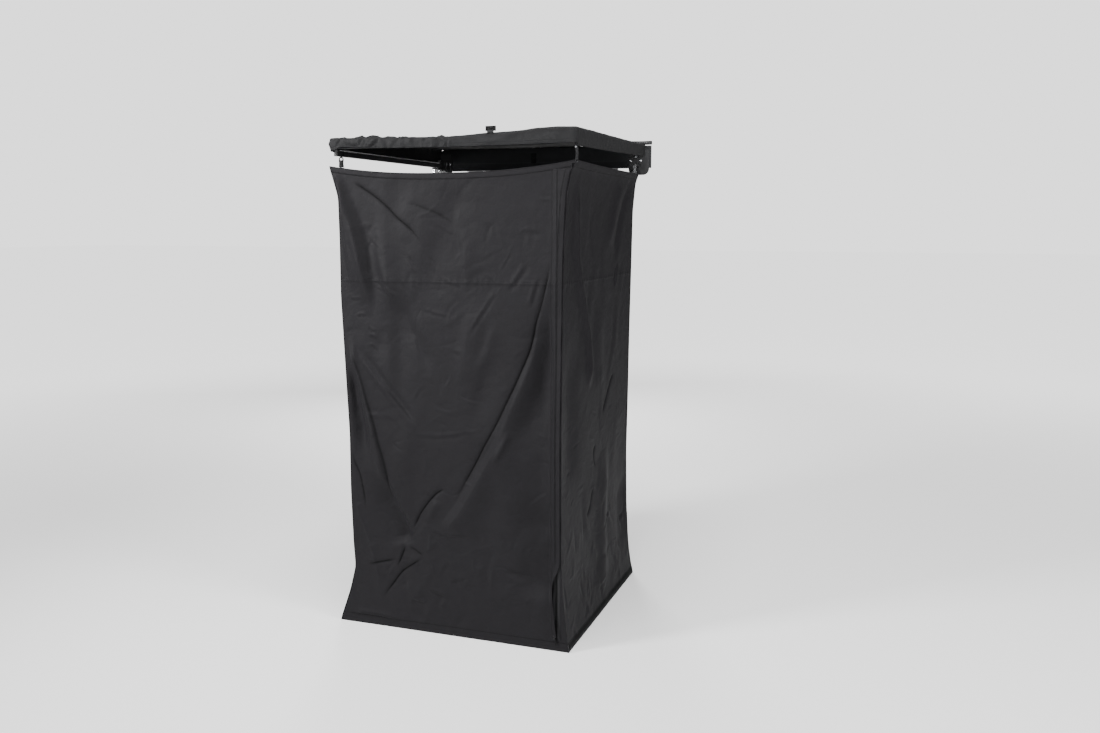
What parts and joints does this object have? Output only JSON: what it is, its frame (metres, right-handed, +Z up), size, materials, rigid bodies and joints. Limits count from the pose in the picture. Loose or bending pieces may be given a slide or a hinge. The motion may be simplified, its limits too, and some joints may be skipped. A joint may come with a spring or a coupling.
{
  "type": "shower awning",
  "caption": "Square fold-out shower awning with a roof frame on a back rail and four hanging fabric walls, shown open.",
  "frame": {"origin": "middle of the back rail's rear face, between its two T-slots", "axes": "+Y towards the vehicle or rack that carries it, +Z up, and the awning opens towards -Y; the ground is at z = -2.16 m"},
  "size_m": [1.208, 1.2253, 2.2429],
  "materials": {
    "rail_alloy": "satin anodised",
    "tube_black": "satin black coat",
    "bracket_black": "satin black powder coat",
    "moulded_black": "matte moulded",
    "zinc_steel": "zinc plated",
    "webbing": "woven webbing",
    "roof_cloth": "coated canvas",
    "wall_cloth": "coated polyester",
    "cover_vinyl": "coated fabric"
  },
  "bodies": {
    "root": {"back_rail": "rail_alloy", "left_end_cap": "moulded_black", "right_end_cap": "moulded_black", "left_mount_bracket": "bracket_black", "right_mount_bracket": "bracket_black", "mount_bolt_1": "zinc_steel", "mount_bolt_2": "zinc_steel", "mount_bolt_3": "zinc_steel", "mount_bolt_4": "zinc_steel", "mount_nut_1": "zinc_steel", "mount_nut_2": "zinc_steel", "mount_nut_3": "zinc_steel", "mount_nut_4": "zinc_steel", "left_hinge_bracket": "bracket_black", "right_hinge_bracket": "bracket_black", "left_bracket_bolt_1": "zinc_steel", "left_bracket_bolt_2": "zinc_steel", "right_bracket_bolt_1": "zinc_steel", "right_bracket_bolt_2": "zinc_steel", "left_pivot_bolt": "zinc_steel", "right_pivot_bolt": "zinc_steel", "left_pivot_nut": "zinc_steel", "right_pivot_nut": "zinc_steel", "back_left_hook": "moulded_black", "back_right_hook": "moulded_black", "roof_sheet": "roof_cloth", "front_skirt": "roof_cloth", "left_skirt": "roof_cloth", "right_skirt": "roof_cloth", "front_wall": "wall_cloth", "back_wall": "wall_cloth", "left_wall": "wall_cloth", "right_wall": "wall_cloth", "zip_chain": "moulded_black", "travel_cover": "cover_vinyl", "left_cover_strap": "webbing", "right_cover_strap": "webbing", "closing_strap": "webbing", "roof_buckle": "moulded_black"},
    "left_arm": {"left_arm_tube": "tube_black", "left_arm_root_plug": "moulded_black", "left_arm_tip_plug": "moulded_black", "left_corner_bolt": "zinc_steel", "left_corner_nut": "zinc_steel", "front_left_band": "webbing", "front_left_hook": "moulded_black"},
    "left_bar": {"left_bar_tube": "tube_black", "left_bar_root_plug": "moulded_black", "left_bar_end_block": "moulded_black"},
    "right_arm": {"right_arm_tube": "tube_black", "right_arm_root_plug": "moulded_black", "right_arm_knuckle": "moulded_black", "right_corner_rivet": "zinc_steel", "front_right_strap": "webbing", "front_right_stud": "zinc_steel"},
    "right_bar": {"right_bar_knuckle": "moulded_black", "right_bar_tube": "tube_black", "right_bar_end_block": "moulded_black"},
    "lock_pin": {"lock_pin": "zinc_steel"},
    "zip_slider": {"zip_slider": "zinc_steel"}
  },
  "joints": [
    {"name": "right_arm_swing", "type": "hinge", "parent": "root", "child": "right_arm", "pos_m": [0.543, -0.078, 0.016], "axis": [0, 0, -1], "range_deg": [0, 90]},
    {"name": "left_arm_swing", "type": "hinge", "parent": "root", "child": "left_arm", "pos_m": [-0.537, -0.078, -0.026], "axis": [0, 0, 1], "range_deg": [0, 90]},
    {"name": "left_bar_fold", "type": "hinge", "parent": "left_arm", "child": "left_bar", "pos_m": [-0.537, -1.118, -0.002], "axis": [0, 0, 1], "range_deg": [0, 90]},
    {"name": "right_bar_fold", "type": "hinge", "parent": "right_arm", "child": "right_bar", "pos_m": [0.532, -1.107, 0.016], "axis": [0, 0, -1], "range_deg": [0, 90]},
    {"name": "lock_pin_slide", "type": "slide", "parent": "right_bar", "child": "lock_pin", "axis": [0, 0, 1], "range_m": [-0.008, 0]},
    {"name": "zip_slider_slide", "type": "slide", "parent": "root", "child": "zip_slider", "axis": [0, 0, 1], "range_m": [0, 1.85]}
  ],
  "couplings": [
    {"joint": "left_arm_swing", "follows": "right_arm_swing", "ratio": 1},
    {"joint": "left_bar_fold", "follows": "right_arm_swing", "ratio": 1},
    {"joint": "right_bar_fold", "follows": "right_arm_swing", "ratio": 1}
  ]
}
